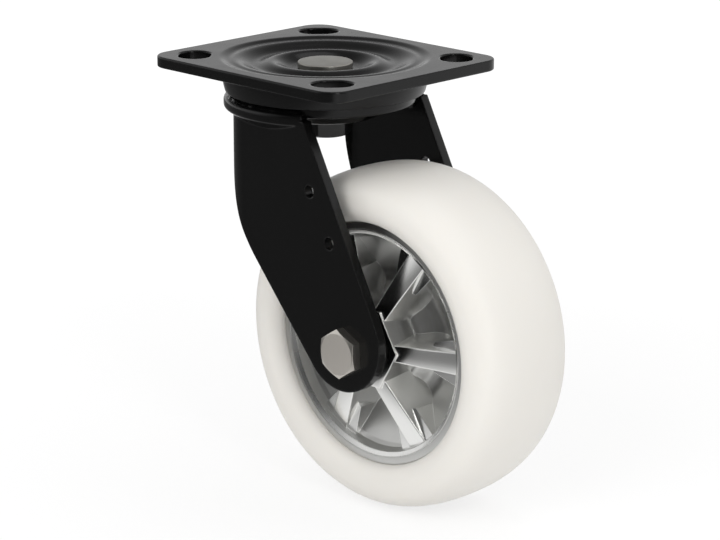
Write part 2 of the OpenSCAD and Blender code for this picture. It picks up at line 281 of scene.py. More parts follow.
@dataclass(frozen=True)
class CastAluminium(Finish):
    """Bright die-cast aluminium: satin skin with soft flow marks and rounded inside corners."""

    name: str = "cast_aluminium"
    colour: str = "#d2d2d0"
    rough_low: float = 0.40
    rough_high: float = 0.48
    corner_mm: float = 0.4

    def shade(self, tree: bpy.types.NodeTree) -> bpy.types.Node:
        """Builds the casting skin over corners rounded by the die."""
        soft = add_node(tree, "ShaderNodeBevel", {"samples": 8}, Radius=self.corner_mm * MM)
        flow = add_node(
            tree,
            "ShaderNodeBump",
            Height=grain(tree, 16.0, 1.0),
            Strength=0.10,
            Distance=0.3 * MM,
            Normal=soft.outputs[0],
        )
        pores = add_node(
            tree,
            "ShaderNodeBump",
            Height=grain(tree, 0.8, 2.0),
            Strength=0.06,
            Distance=0.02 * MM,
            Normal=flow.outputs[0],
        )
        return add_node(
            tree,
            "ShaderNodeBsdfPrincipled",
            Base_Color=linear(self.colour),
            Metallic=1.0,
            Roughness=spread(tree, grain(tree, 11.0, 1.0), self.rough_low, self.rough_high),
            Normal=pores.outputs[0],
        )


@dataclass(frozen=True)
class Nylon(Finish):
    """Solid moulded white nylon: soft sheen, a little light inside the surface."""

    name: str = "white_nylon"
    colour: str = "#ebe8e2"
    rough_low: float = 0.36
    rough_high: float = 0.46

    def shade(self, tree: bpy.types.NodeTree) -> bpy.types.Node:
        """Builds the plastic with a faint mould texture."""
        skin = add_node(
            tree, "ShaderNodeBump", Height=grain(tree, 1.2), Strength=0.05, Distance=0.03 * MM
        )
        return add_node(
            tree,
            "ShaderNodeBsdfPrincipled",
            Base_Color=linear(self.colour),
            Roughness=spread(tree, grain(tree, 12.0), self.rough_low, self.rough_high),
            Subsurface_Weight=0.12,
            Subsurface_Radius=(1.0, 0.9, 0.75),
            Subsurface_Scale=2.0 * MM,
            Normal=skin.outputs[0],
        )


@dataclass(frozen=True)
class Rubber(Finish):
    """Matt black seal rubber."""

    name: str = "seal_rubber"
    colour: str = "#1a1a1a"

    def shade(self, tree: bpy.types.NodeTree) -> bpy.types.Node:
        """Builds the plain rubber."""
        return add_node(tree, "ShaderNodeBsdfPrincipled", Base_Color=linear(self.colour), Roughness=0.7)


BLACK = PowderCoat()
SKIRT = PowderCoat("dark_coat", "#121212", 0.26, 0.34, 0.25)
# Dark steel for the king pin nut; on the axle spacers the same dark steel is painted shade, where they sit
# in shadow between the legs and the hub.
NUT_AND_SHADED_SPACERS = PlatedSteel("dark_nut_steel_and_painted_shade", "#3f3f3f", 0.34, 0.46)
PIN = PlatedSteel("king_pin_steel", "#a8a6a0", 0.36, 0.48)
PLATED = PlatedSteel()
# Darker steel on the bolt head's flats and chamfer than on its face: painted shade, standing in for the dark
# leg that the flats reflect.
SHADED_HEX_SIDES = PlatedSteel("hex_sides_painted_shade", "#c9c5be", 0.30, 0.36)
GROUND = PlatedSteel("bearing_steel", "#b5b5b5", 0.18, 0.28)
# One casting in two tones: the pockets' finish is darker as painted shade in the recesses, and the ribs' and
# hub's finish is lighter as painted highlight.
CAST = CastAluminium()
LIT_RIBS = CastAluminium("cast_ribs_painted_light", "#efefed", 0.20, 0.26, 0.3)
TURNED = CastAluminium("turned_rim", "#dcdcda", 0.22, 0.30, 0.3)
BAND = CastAluminium("turned_band", "#d2d2d0", 0.34, 0.42, 0.3)
NYLON = Nylon()
RUBBER = Rubber()


# Mesh helpers


def fillet(points: Sequence[tuple[float, ...]], closed: bool = True, steps: int = 5) -> list[Point]:
    """Rounds the corners of an outline.

    Args:
        points: Corners as (u, v) or (u, v, radius).
        closed: Whether the last corner joins the first.
        steps: Pieces per rounded corner.

    Returns:
        The outline with its rounded corners.
    """
    made: list[Point] = []
    count = len(points)
    for i, corner in enumerate(points):
        here = Vector(corner[:2])
        radius = corner[2] if len(corner) > 2 else 0.0
        if radius <= 0.0 or (not closed and i in (0, count - 1)):
            made.append((here.x, here.y))
            continue
        back = Vector(points[i - 1][:2]) - here
        ahead = Vector(points[(i + 1) % count][:2]) - here
        half = back.angle(ahead) / 2.0
        reach = min(radius / math.tan(half), back.length * 0.49, ahead.length * 0.49)
        start, end = here + back.normalized() * reach, here + ahead.normalized() * reach
        for k in range(steps + 1):
            t = k / steps
            spot = start * (1 - t) ** 2 + here * 2 * t * (1 - t) + end * t * t
            made.append((spot.x, spot.y))
    return made


def arc(centre: Point, radius: float, start: float, end: float, steps: int) -> list[Point]:
    """Points along an arc.

    Args:
        centre: Centre of the arc.
        radius: Radius of the arc.
        start: First angle in degrees.
        end: Last angle in degrees.
        steps: Pieces along the arc.

    Returns:
        The points, both ends included.
    """
    angles = [math.radians(start + (end - start) * i / steps) for i in range(steps + 1)]
    return [(centre[0] + radius * math.cos(a), centre[1] + radius * math.sin(a)) for a in angles]


def add_loop(bm: BMesh, points: Iterable[Point], plane: str = "xz", closed: bool = True) -> list[BMEdge]:
    """Adds a chain of edges.

    Args:
        bm: Mesh that gets the chain.
        points: Points of the chain.
        plane: "xz" for a profile, "xy" for a plan.
        closed: Whether the chain closes.

    Returns:
        The new edges.
    """
    verts = [bm.verts.new((u, 0.0, v) if plane == "xz" else (u, v, 0.0)) for u, v in points]
    pairs = list(zip(verts, verts[1:]))
    if closed:
        pairs.append((verts[-1], verts[0]))
    return [bm.edges.new(pair) for pair in pairs]


def clean(bm: BMesh) -> BMesh:
    """Merges doubles and turns the faces outwards."""
    bmesh.ops.remove_doubles(bm, verts=bm.verts, dist=1e-4)
    bmesh.ops.recalc_face_normals(bm, faces=bm.faces)
    return bm


def lathe(profile: Sequence[Point], steps: int = 128, closed: bool = True) -> BMesh:
    """Spins a profile of (radius, height) about Z.

    Args:
        profile: Profile points.
        steps: Pieces round the axis.
        closed: Whether the profile is a ring section rather than a line between two axis points.

    Returns:
        The closed solid.
    """
    bm = bmesh.new()
    edges = add_loop(bm, profile, closed=closed)
    geom: list[Any] = [*bm.verts, *edges]
    bmesh.ops.spin(bm, geom=geom, cent=(0, 0, 0), axis=(0, 0, 1), angle=TURN, steps=steps, use_merge=True)
    return clean(bm)


def sector(profile: Sequence[Point], start: float, end: float, steps: int) -> BMesh:
    """Spins a closed profile through part of a turn about Z and caps its ends.

    Args:
        profile: Profile points of (radius, height).
        start: First angle in degrees.
        end: Last angle in degrees.
        steps: Pieces along the sector.

    Returns:
        The closed solid.
    """
    bm = bmesh.new()
    edges = add_loop(bm, profile)
    bmesh.ops.rotate(bm, verts=bm.verts, cent=(0, 0, 0), matrix=Matrix.Rotation(math.radians(start), 3, "Z"))
    geom: list[Any] = [*bm.verts, *edges]
    angle = math.radians(end - start)
    bmesh.ops.spin(
        bm, geom=geom, cent=(0, 0, 0), axis=(0, 0, 1), angle=angle, steps=steps, use_merge=False
    )
    bmesh.ops.remove_doubles(bm, verts=bm.verts, dist=1e-4)
    bmesh.ops.holes_fill(bm, edges=[e for e in bm.edges if e.is_boundary])
    return clean(bm)


def fill(bm: BMesh, normal: Sequence[float] = (0, 0, 1)) -> None:
    """Fills the flat loops of a mesh and leaves inner loops open as holes."""
    bmesh.ops.triangle_fill(bm, edges=bm.edges, use_beauty=True, use_dissolve=False, normal=normal)


def extrude(bm: BMesh, vec: Sequence[float]) -> None:
    """Gives the flat faces of a mesh a thickness along a vector."""
    made = bmesh.ops.extrude_face_region(bm, geom=list(bm.faces), use_keep_orig=True)
    moved = [g for g in made["geom"] if isinstance(g, BMVert)]
    bmesh.ops.translate(bm, verts=moved, vec=vec)


def sharp(bm: BMesh, degrees: float = 35.0) -> list[BMEdge]:
    """Returns the edges whose faces meet at more than an angle."""
    limit = math.radians(degrees)
    return [e for e in bm.edges if len(e.link_faces) == 2 and e.calc_face_angle(0.0) > limit]


def bevel(bm: BMesh, edges: Iterable[BMEdge], width: float, segments: int = 2) -> BMesh:
    """Rounds edges.

    Args:
        bm: Mesh to change.
        edges: Edges to round.
        width: Width of the bevel.
        segments: Pieces across the bevel.

    Returns:
        The same mesh.
    """
    bmesh.ops.bevel(
        bm,
        geom=list(edges),
        offset=width,
        offset_type="OFFSET",
        affect="EDGES",
        segments=segments,
        profile=0.5,
        material=-1,
        clamp_overlap=True,
    )
    return bm


def reshape(bm: BMesh, rule: Callable[[Vector], Sequence[float]]) -> BMesh:
    """Moves every vertex by a rule.

    Args:
        bm: Mesh to change.
        rule: Function from the old place to the new one.

    Returns:
        The same mesh.
    """
    for vert in bm.verts:
        vert.co = Vector(rule(vert.co))
    return bm


def join(*parts: BMesh) -> BMesh:
    """Puts several meshes into the first one.

    Args:
        parts: Meshes; all but the first are freed.

    Returns:
        The first mesh.
    """
    first, *others = parts
    for other in others:
        held = bpy.data.meshes.new("held")
        other.to_mesh(held)
        other.free()
        first.from_mesh(held)
        bpy.data.meshes.remove(held)
    return first


def add_piece(
    bm: BMesh,
    name: str,
    finish: Finish,
    body: Body,
    nodes: Sequence[str] = (),
    smooth: float = 32.0,
    more: Sequence[Finish] = (),
    flat: int | None = None,
) -> bpy.types.Object:
    """Makes a finished piece from a mesh in millimetres.

    Args:
        bm: Mesh; it is freed.
        name: Name of the piece.
        finish: Finish of the piece.
        body: Body that the piece rides on.
        nodes: CAD nodes that the piece stands for.
        smooth: Angle in degrees above which an edge stays sharp.
        more: Finishes for further material indices.
        flat: Material index whose faces are all plane.

    Returns:
        The new object.
    """
    bmesh.ops.scale(bm, vec=(MM, MM, MM), verts=bm.verts)
    for face in bm.faces:
        face.smooth = face.material_index != flat
    mesh = bpy.data.meshes.new(name)
    bm.to_mesh(mesh)
    bm.free()
    mesh.set_sharp_from_angle(angle=math.radians(smooth))
    for one in (finish, *more):
        mesh.materials.append(one.material())
    made = bpy.data.objects.new(name, mesh)
    bpy.context.scene.collection.objects.link(made)
    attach(made, body.value)
    if nodes:
        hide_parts(*nodes)
    LOG.info("%s: %d faces on %s", name, len(mesh.polygons), body.value)
    return made


def dress_node(frame: dict[str, Any], node: str, finish: Finish) -> None:
    """Gives a CAD node its finish.

    Args:
        frame: The loaded frame.
        node: Name of the node.
        finish: Finish of the node.
    """
    thing = frame["nodes"][node]
    thing.data.materials.clear()
    thing.data.materials.append(finish.material())
    LOG.info("%s: CAD node dressed", node)


def hex_block(af: float, height: float, turn: float = 0.0) -> BMesh:
    """Makes a hexagon block from z = 0 up, with a turned chamfer on its top.

    Args:
        af: Width across the flats.
        height: Height of the block.
        turn: Turn about Z in degrees.

    Returns:
        The closed solid.
    """
    corner, top = af / 2.0 / math.cos(math.pi / 6.0), af * 0.475
    slope = math.tan(math.radians(25.0))

    def shape(co: Vector) -> Sequence[float]:
        """Pulls the round side out to the hexagon and drops its upper edge along the chamfer."""
        flat = math.hypot(co.x, co.y)
        if flat < 0.9:
            return co.x * top / 0.8, co.y * top / 0.8, co.z * height
        angle = (math.atan2(co.y, co.x) % (math.pi / 3.0)) - math.pi / 6.0
        reach = corner * math.cos(math.pi / 6.0) / math.cos(angle)
        z = co.z * (height - max(0.0, reach - top) * slope)
        return co.x / flat * reach, co.y / flat * reach, z

    bm = bmesh.new()
    lift = Matrix.Translation((0, 0, 0.5))
    bmesh.ops.create_cone(bm, cap_ends=True, segments=96, radius1=1.0, radius2=1.0, depth=1.0, matrix=lift)
    cap = [f for f in bm.faces if f.normal.z > 0.9]
    bmesh.ops.inset_region(bm, faces=cap, thickness=0.2, use_even_offset=True)
    reshape(bm, shape)
    bmesh.ops.rotate(bm, verts=bm.verts, cent=(0, 0, 0), matrix=Matrix.Rotation(math.radians(turn), 3, "Z"))
    return clean(bm)


@dataclass
class SwivelHead:
    """Plate, dust skirt, king pin and races: everything fixed to the machine."""

    plate_l: float = 114.0
    plate_w: float = 105.0
    plate_t: float = 4.9
    corner_r: float = 10.0
    slot_x: float = 42.5
    slot_y: float = 38.0
    slot_w: float = 14.0
    slot_l: float = 18.0
    press: list[Point] = field(
        default_factory=lambda: [(46.5, 0), (42, -1), (39.6, -0.75), (30.5, -3.3), (23.4, -1.67), (14.6, -5)]
    )
    skirt_r: float = 45.2
    skirt_z: float = 14.4
    skirt_t: float = 2.4
    pin_d: float = 14.0
    pin_head_d: float = 24.0
    pin_head_h: float = 2.9
    nut_af: float = 21.0
    nut_h: float = 6.5
    race_low: float = -27.6
    race_pitch: float = 19.0

    def step_line(self, stations: Sequence[Point], pieces: int) -> list[Point]:
        """Joins stations by smooth steps.

        Args:
            stations: Pairs of radius and height.
            pieces: Pieces between two stations.

        Returns:
            Points of the line.
        """
        made: list[Point] = []
        for (r0, z0), (r1, z1) in zip(stations, stations[1:]):
            for i in range(pieces):
                u = i / pieces
                made.append((r0 + (r1 - r0) * u, z0 + (z1 - z0) * (1 - math.cos(math.pi * u)) / 2))
        return [*made, stations[-1]]

    def plate(self) -> BMesh:
        """Builds the plate: a pressed middle inside a flat border with slots."""
        edge_r, round_n = 47.0, 128
        upper = self.step_line(self.press, 10)
        low = [(41.0, 0.0), *self.press[3:]]
        lower = [(r, z - self.plate_t) for r, z in self.step_line(low, 10)]
        seat = self.press[-1][1]
        bore = self.pin_d / 2 + 0.05
        line = [(edge_r, 0.0), *upper, (bore, seat), (bore, seat - self.plate_t), *reversed(lower)]
        middle = bmesh.new()
        edges = add_loop(middle, [*line, (edge_r, -self.plate_t)], closed=False)
        geom: list[Any] = [*middle.verts, *edges]
        bmesh.ops.spin(middle, geom=geom, axis=(0, 0, 1), angle=TURN, steps=round_n, use_merge=True)

        border = bmesh.new()
        l, w, r = self.plate_l / 2, self.plate_w / 2, self.corner_r
        outline: list[Point] = []
        for sx, sy, a in ((1, 1, 0), (-1, 1, 90), (-1, -1, 180), (1, -1, 270)):
            outline += arc((sx * (l - r), sy * (w - r)), r, a, a + 90, 12)
        add_loop(border, outline, "xy")
        add_loop(border, arc((0, 0), edge_r, 0, 360 * (1 - 1 / round_n), round_n - 1), "xy")
        for sx in (-1, 1):
            for sy in (-1, 1):
                half, r_slot = (self.slot_l - self.slot_w) / 2, self.slot_w / 2
                ends = arc((half, 0), r_slot, -90, 90, 14) + arc((-half, 0), r_slot, 90, 270, 14)
                turn = Matrix.Rotation(-sx * sy * math.atan2(self.slot_x, self.slot_y), 2)
                spots = [turn @ Vector(p) + Vector((sx * self.slot_x, sy * self.slot_y)) for p in ends]
                add_loop(border, [(p.x, p.y) for p in spots], "xy")
        fill(border)
        extrude(border, (0, 0, -self.plate_t))
        inner = [f for f in border.faces if all(abs(v.co.xy.length - edge_r) < 1e-3 for v in f.verts)]
        bmesh.ops.delete(border, geom=inner, context="FACES")
        whole = clean(join(border, middle))
        rim = [e for e in sharp(whole, 60) if min(v.co.xy.length for v in e.verts) > edge_r + 0.5]
        return bevel(whole, rim, 0.6, 3)

    def skirt(self) -> BMesh:
        """Builds the drawn skirt with a rolled lower edge."""
        top, low = -self.plate_t, -self.skirt_z
        depth = self.skirt_z - self.plate_t
        outer = [(self.skirt_r - 1.5 * (i / 12) ** 2, top - depth * i / 12) for i in range(12)]
        edge = [(self.skirt_r - 1.5, low, 0.5), (self.skirt_r - 2.7, low, 0.4)]
        inside = self.skirt_r - self.skirt_t
        return lathe(fillet([*outer, *edge, (inside, top - depth * 0.4), (inside, top)]), 192)

    def pin(self) -> BMesh:
        """Builds the king pin with its flat head."""
        seat = self.press[-1][1]
        top, head, shank = seat + self.pin_head_h, self.pin_head_d / 2, self.pin_d / 2
        low = self.race_low - self.nut_h
        line = [(0, top), (head, top, 0.5), (head, seat, 0.3), (shank, seat), (shank, low, 0.6), (0, low)]
        return lathe(fillet(line, closed=False), 96, closed=False)

    def nut(self) -> BMesh:
        """Builds the king pin nut."""
        bm = hex_block(self.nut_af, self.nut_h)
        bmesh.ops.rotate(bm, verts=bm.verts, cent=(0, 0, 0), matrix=Matrix.Rotation(math.pi, 3, "X"))
        bmesh.ops.translate(bm, verts=bm.verts, vec=(0, 0, self.race_low))
        return bm

    def race(self) -> BMesh:
        """Builds the dished lower race."""
        top, low = self.race_low + 4.2, self.race_low
        out, bore = self.race_pitch + 8.4, self.pin_d / 2 + 0.05
        line = [
            (bore, low), (self.nut_af * 0.6, low, 1.0), (out - 3.5, top - 1.6, 3.0), (out, top + 2.2, 0.8),
            (out - 2.4, top + 2.2, 0.8), (out - 4.6, top, 1.0), (self.race_pitch + 2.6, top),
            (self.race_pitch, top - 1.05, 2.0), (self.race_pitch - 2.6, top), (bore, top),
        ]
        return lathe(fillet(line), 96)

    def build(self, frame: dict[str, Any]) -> None:
        """Builds and dresses the swivel head.

        Args:
            frame: The loaded frame.
        """
        add_piece(self.plate(), "ringed_plate", BLACK, Body.PLATE, ["top_plate"], 12.0)
        add_piece(self.skirt(), "drawn_skirt", SKIRT, Body.PLATE, ["dust_skirt"])
        add_piece(self.pin(), "headed_pin", PIN, Body.PLATE, ["king_pin"])
        add_piece(self.nut(), "pin_nut", NUT_AND_SHADED_SPACERS, Body.PLATE, ["king_pin_nut"])
        add_piece(self.race(), "dished_race", BLACK, Body.PLATE, ["lower_race"])
        dress_node(frame, "upper_balls", GROUND)
        dress_node(frame, "lower_balls", GROUND)


@dataclass
class Fork:
    """Crown, formed legs and the axle's hardware."""

    axle_x: float = 50.0
    axle_z: float = -115.0
    leg_y: float = 38.3
    leg_t: float = 4.5
    end_r: float = 22.3
    front_lean: float = 27.6
    rear_lean: float = 41.0
    rear_x: float = 22.0
    sweep_r: float = 72.0
    roll_r: float = 15.0
    roll_a: float = 40.0
    crown_r: float = 39.8
    crown_low: float = -19.0
    crown_t: float = 5.5
    collar_t: float = 4.6
    collar_top: float = -16.5
    collar_from: float = 208.0
    collar_to: float = 302.0
    holes: tuple[Point, ...] = ((28.8, -48.5), (40.7, -69.0))
    hole_d: float = 5.5
    axle_d: float = 12.0
    head_af: float = 19.0
    head_h: float = 4.8
    nut_h: float = 10.0
    washer_d: float = 24.0
    washer_t: float = 2.5

    def crown(self) -> BMesh:
        """Builds the round crown with its ball tracks."""
        low, top = self.crown_low, self.crown_low + self.crown_t
        line = [
            (9.0, low), (16.2, low), (19.0, low + 1.05, 2.0), (21.8, low), (self.crown_r, low, 1.0),
            (self.crown_r, top, 1.0), (38.2, top), (35.5, top - 1.05, 2.5), (32.8, top), (9.0, top),
        ]
        return lathe(fillet(line), 160)

    def outline(self) -> list[Point]:
        """Returns the side outline of a leg in X and Z."""
        top = self.crown_low - 0.05
        centre = Vector((self.axle_x - 2.0, self.axle_z + 4.3))
        fa, ra = math.radians(self.front_lean), math.radians(self.rear_lean)
        rear = Vector((-math.cos(ra), -math.sin(ra)))
        front = centre + self.end_r * Vector((math.cos(fa), math.sin(fa)))
        sx = self.sweep_r - self.rear_x
        sz = (rear.dot(centre) + self.end_r - self.sweep_r - rear.x * sx) / rear.y
        head = [(front.x - (top - front.y) * math.tan(fa), top), (-self.rear_x, top)]
        sweep = arc((sx, sz), self.sweep_r, 180, 180 + self.rear_lean, 24)
        end = arc((centre.x, centre.y), self.end_r, 180 + self.rear_lean, 360 + self.front_lean, 40)
        return [*head, *sweep, *end]

    def bend(self, x: float, depth: float) -> Point:
        """Maps a flat sheet to the leg's plan on the -Y side.

        Args:
            x: Place along the outer face before the edge is rolled.
            depth: Depth below the outer face.

        Returns:
            X and Y of the place.
        """
        turn = math.radians(self.roll_a)
        start = -self.rear_x + 0.4 + self.roll_r * math.sin(turn)
        if x >= start:
            return x, -self.leg_y + depth
        sine = min(1.0, (start - x) / self.roll_r)
        angle = math.asin(sine)
        radius = self.roll_r - depth
        return start - radius * math.sin(angle), -self.leg_y + self.roll_r - radius * math.cos(angle)

    def blade(self) -> BMesh:
        """Builds the flat of a leg, with its holes, and rolls its rear edge."""
        bm = bmesh.new()
        add_loop(bm, self.outline())
        for hx, hz in self.holes:
            add_loop(bm, arc((hx, hz), self.hole_d / 2, 0, 345, 23))
        add_loop(bm, arc((self.axle_x, self.axle_z), self.axle_d / 2 + 0.05, 0, 350, 35))
        fill(bm, (0, -1, 0))
        for i in range(16):
            x = -self.rear_x + 0.3 + i * 0.65
            geom: list[Any] = [*bm.verts, *bm.edges, *bm.faces]
            bmesh.ops.bisect_plane(bm, geom=geom, dist=1e-4, plane_co=(x, 0, 0), plane_no=(1, 0, 0))
        extrude(bm, (0, self.leg_t, 0))
        clean(bm)
        bevel(bm, sharp(bm, 60), 0.55, 3)

        def rule(co: Vector) -> Sequence[float]:
            """Bends one vertex."""
            x, y = self.bend(co.x, co.y)
            return x, y, co.z

        return reshape(bm, rule)

    def collar(self) -> BMesh:
        """Builds the collar that wraps the crown."""
        inner, top = self.crown_r + 0.05, self.collar_top
        outer, back, under = inner + self.collar_t, self.leg_y - 4.0, self.crown_low - 0.05
        line = [
            (inner, top), (outer, top, 2.2), (outer, top - 4.6, 2.0), (self.leg_y + 0.4, top - 8.6, 0.8),
            (back, top - 8.6), (back, under), (inner, under),
        ]
        bm = sector(fillet(line, steps=6), self.collar_from, self.collar_to, 60)
        return bevel(bm, [e for e in sharp(bm, 70) if e.calc_length() > 0.2], 0.3, 2)

    def weld(self) -> BMesh:
        """Builds the weld bead along the collar: overlapping ripples of uneven height."""
        radius, middle = 1.5, self.crown_r + 1.55
        level = self.collar_top - 0.4
        ring = arc((middle, level), radius, 0, 340, 17)
        bm = sector(ring, self.collar_from + 6, self.collar_to - 2, 240)

        def rule(co: Vector) -> Sequence[float]:
            """Swells one vertex by the ripple at its angle."""
            angle = math.atan2(co.y, co.x)
            spine = Vector((math.cos(angle) * middle, math.sin(angle) * middle, level))
            step = (angle * middle / 2.3) % 1.0
            lump = noise.noise(co * 0.35) * 0.28
            return spine + (co - spine) * (0.80 + 0.20 * math.sqrt(1.0 - step) + lump)

        return reshape(bm, rule)

    def leg(self, side: Side) -> BMesh:
        """Builds one leg with its collar and weld.

        Args:
            side: Side of the castor.

        Returns:
            The leg's mesh.
        """
        bm = join(self.blade(), self.collar(), self.weld())
        if side is Side.FAR:
            bmesh.ops.scale(bm, vec=(1, -1, 1), verts=bm.verts)
            bmesh.ops.reverse_faces(bm, faces=bm.faces)
        return bm

    def to_axle(self, bm: BMesh, y: float, outward: Side) -> BMesh:
        """Turns a mesh that stands on Z to the axle, its top pointing outwards.

        Args:
            bm: Mesh to move.
            y: Place of its foot along the axle.
            outward: Side that its top points to.

        Returns:
            The same mesh.
        """
        turn = Matrix.Rotation(math.radians(-90.0 * outward.value), 3, "X")
        bmesh.ops.rotate(bm, verts=bm.verts, cent=(0, 0, 0), matrix=turn)
        bmesh.ops.translate(bm, verts=bm.verts, vec=(self.axle_x, y, self.axle_z))
        return bm

    def bolt(self) -> BMesh:
        """Builds the axle bolt with its chamfered head."""
        head = hex_block(self.head_af, self.head_h, 34.0)
        # The face keeps the plated steel; the flats and chamfer take the darker steel as painted shade.
        for face in head.faces:
            face.material_index = 0 if face.normal.z > 0.99 else 1
        head = self.to_axle(head, -self.leg_y, Side.NEAR)
        length = 2 * self.leg_y + self.washer_t + self.nut_h + 2.5
        r = self.axle_d / 2
        line = [(0, 0), (r, 0), (r, length, 1.0), (0, length)]
        shank = lathe(fillet(line, closed=False), 64, closed=False)
        return join(head, self.to_axle(shank, -self.leg_y, Side.FAR))

    def washer(self) -> BMesh:
        """Builds the washer under the axle nut."""
        out, bore, t = self.washer_d / 2, self.axle_d / 2 + 0.05, self.washer_t
        line = [(bore, 0), (out, 0, 0.3), (out, t, 0.5), (bore, t, 0.3)]
        return self.to_axle(lathe(fillet(line), 96), self.leg_y, Side.FAR)

    def build(self, frame: dict[str, Any]) -> None:
        """Builds and dresses the fork.

        Args:
            frame: The loaded frame.
        """
        add_piece(self.crown(), "round_crown", BLACK, Body.FORK, ["fork_crown"])
        for side, node in ((Side.NEAR, "fork_leg_near"), (Side.FAR, "fork_leg_far")):
            name = f"formed_leg_{side.name.lower()}"
            add_piece(self.leg(side), name, BLACK, Body.FORK, [node], 12.0)
        add_piece(self.bolt(), "hex_bolt", PLATED, Body.FORK, ["axle_bolt"], 12.0, [SHADED_HEX_SIDES])
        add_piece(self.washer(), "flat_washer", PLATED, Body.FORK, ["axle_washer"])
        nut = self.to_axle(hex_block(self.head_af, self.nut_h), self.leg_y + self.washer_t, Side.FAR)
        add_piece(nut, "hex_nut", PLATED, Body.FORK, ["axle_nut"], 12.0)
        # The spacers take the dark steel as painted shade: they sit in the shadow between the legs and the
        # hub.
        for node in ("spacer_near", "spacer_far"):
            dress_node(frame, node, NUT_AND_SHADED_SPACERS)
        for node in ("bearing_spacer", "bearing_inner_near", "bearing_inner_far"):
            dress_node(frame, node, GROUND)


@dataclass
class Wheel:
    """Tyre, spoked centre and the outer parts of the bearings."""

    axle_x: float = 50.0
    axle_z: float = -115.0
    radius: float = 75.0
    width: float = 54.4
    tread_power: float = 4.8
    shoulder_power: float = 2.35
    rim_r: float = 53.5
    rim_w: float = 43.2
    ribs: int = 6
    rib_turn: float = 1.0
    rib_hub_w: float = 7.0
    rib_rim_w: float = 10.0
    rib_draft: float = 9.0
    hub_w: float = 54.0
    hub_af: float = 34.0
    web_t: float = 7.0
    bearing_r: float = 14.0
    seat_depth: float = 8.5
    groove_in: float = 3.3
    turned_in: float = 5.5
    bore_r: float = 11.1

    def to_axle(self, bm: BMesh) -> BMesh:
        """Turns a mesh that stands on Z to the axle, its top on the near side."""
        bmesh.ops.rotate(bm, verts=bm.verts, cent=(0, 0, 0), matrix=Matrix.Rotation(math.pi / 2, 3, "X"))
        bmesh.ops.translate(bm, verts=bm.verts, vec=(self.axle_x, 0, self.axle_z))
        return bm

    def tyre(self) -> BMesh:
        """Builds the solid tyre with full shoulders and sides that curve in to the rim."""
        side, bore = self.width / 2, self.rim_r + 0.05
        depth, edge, knee = self.radius - bore, self.rim_w / 2 + 0.1, 0.35
        last = math.acos(knee ** (self.tread_power / 2))
        knee_y = side * math.sin(last) ** (2 / self.shoulder_power)
        half: list[Point] = []
        for i in range(29):
            a = last * i / 28
            reach = bore + depth * math.cos(a) ** (2 / self.tread_power)
            half.append((reach, side * math.sin(a) ** (2 / self.shoulder_power)))
        for i in range(1, 13):
            a = math.pi / 2 * i / 12
            half.append((bore + depth * knee * (1 - math.sin(a)), edge + (knee_y - edge) * math.cos(a)))
        return self.to_axle(lathe([*half, *[(r, -y) for r, y in reversed(half[1:])]], 256))

    def rim(self) -> BMesh:
        """Builds the rim and the web, whose faces rise to the rim."""
        face, web, wall = self.rim_w / 2, self.web_t / 2, self.rim_r - 6.4
        lip, floor = self.rim_r - self.groove_in, face - 7.0
        half = [
            (self.rim_r, face, 0.4), (lip + 0.2, face, 0.1), (lip, face - 0.35, 0.1),
            (lip - 0.2, face, 0.15), (self.rim_r - 5.4, face - 1.0, 0.5),
            (wall, floor + 1.5, 0.8), (wall - 1.5, floor, 0.8),
            (30, web + 1.5, 8.0), (24, web + 3, 5.0), (19, web + 8, 4.0), (self.bore_r, web + 8),
        ]
        line = [*half, *[(p[0], -p[1], *p[2:]) for p in reversed(half)]]
        return lathe(fillet(line), 192)

    def hub(self) -> BMesh:
        """Builds the six-sided hub: a slab with the bore between two slabs with a bearing seat."""
        seat = self.hub_w / 2 - self.seat_depth
        corner = self.hub_af / 2 / math.cos(math.pi / self.ribs)
        slabs: list[BMesh] = []
        for low, high, hole in (
            (-self.hub_w / 2, -seat, self.bearing_r + 0.05),
            (-seat, seat, self.bore_r),
            (seat, self.hub_w / 2, self.bearing_r + 0.05),
        ):
            bm = bmesh.new()
            add_loop(bm, arc((0, 0), corner, self.rib_turn, self.rib_turn + 300, self.ribs - 1), "xy")
            add_loop(bm, arc((0, 0), hole, 0, 354, 59), "xy")
            fill(bm)
            extrude(bm, (0, 0, high - low))
            bmesh.ops.translate(bm, verts=bm.verts, vec=(0, 0, low))
            clean(bm)
            rim = [e for e in sharp(bm, 40) if all(v.co.xy.length > corner * 0.95 for v in e.verts)]
            ends = [e for e in rim if all(abs(abs(v.co.z) - self.hub_w / 2) < 1e-3 for v in e.verts)]
            slabs.append(bevel(bm, ends, 0.6) if ends else bm)
        return join(*slabs)

    def gusset(self, mid: Vector, far: Vector, near: Vector, side: int) -> BMesh:
        """Builds the triangular gusset beside the rim end of a rib that lies along X.

        Args:
            mid: Place where the gusset starts on the rib's foot.
            far: Its far corner on the rim.
            near: Its corner at the rib's top.
            side: 1 or -1 for the side of the rib.

        Returns:
            The closed solid.
        """
        bm = bmesh.new()
        add_loop(bm, [(mid.x - 3.0, 0.0), (near.x, 0.0), (far.x, far.y), (mid.x, mid.y)], "xy")
        fill(bm)
        extrude(bm, (0, 0, near.z))
        clean(bm)
        geom: list[Any] = [*bm.verts, *bm.edges, *bm.faces]
        slope = (far - mid).cross(near - mid)
        bmesh.ops.bisect_plane(bm, geom=geom, dist=1e-4, plane_co=mid, plane_no=slope, clear_outer=True)
        bmesh.ops.holes_fill(bm, edges=[e for e in bm.edges if e.is_boundary])
        bmesh.ops.scale(bm, vec=(1, side, 1), verts=bm.verts)
        return clean(bm)

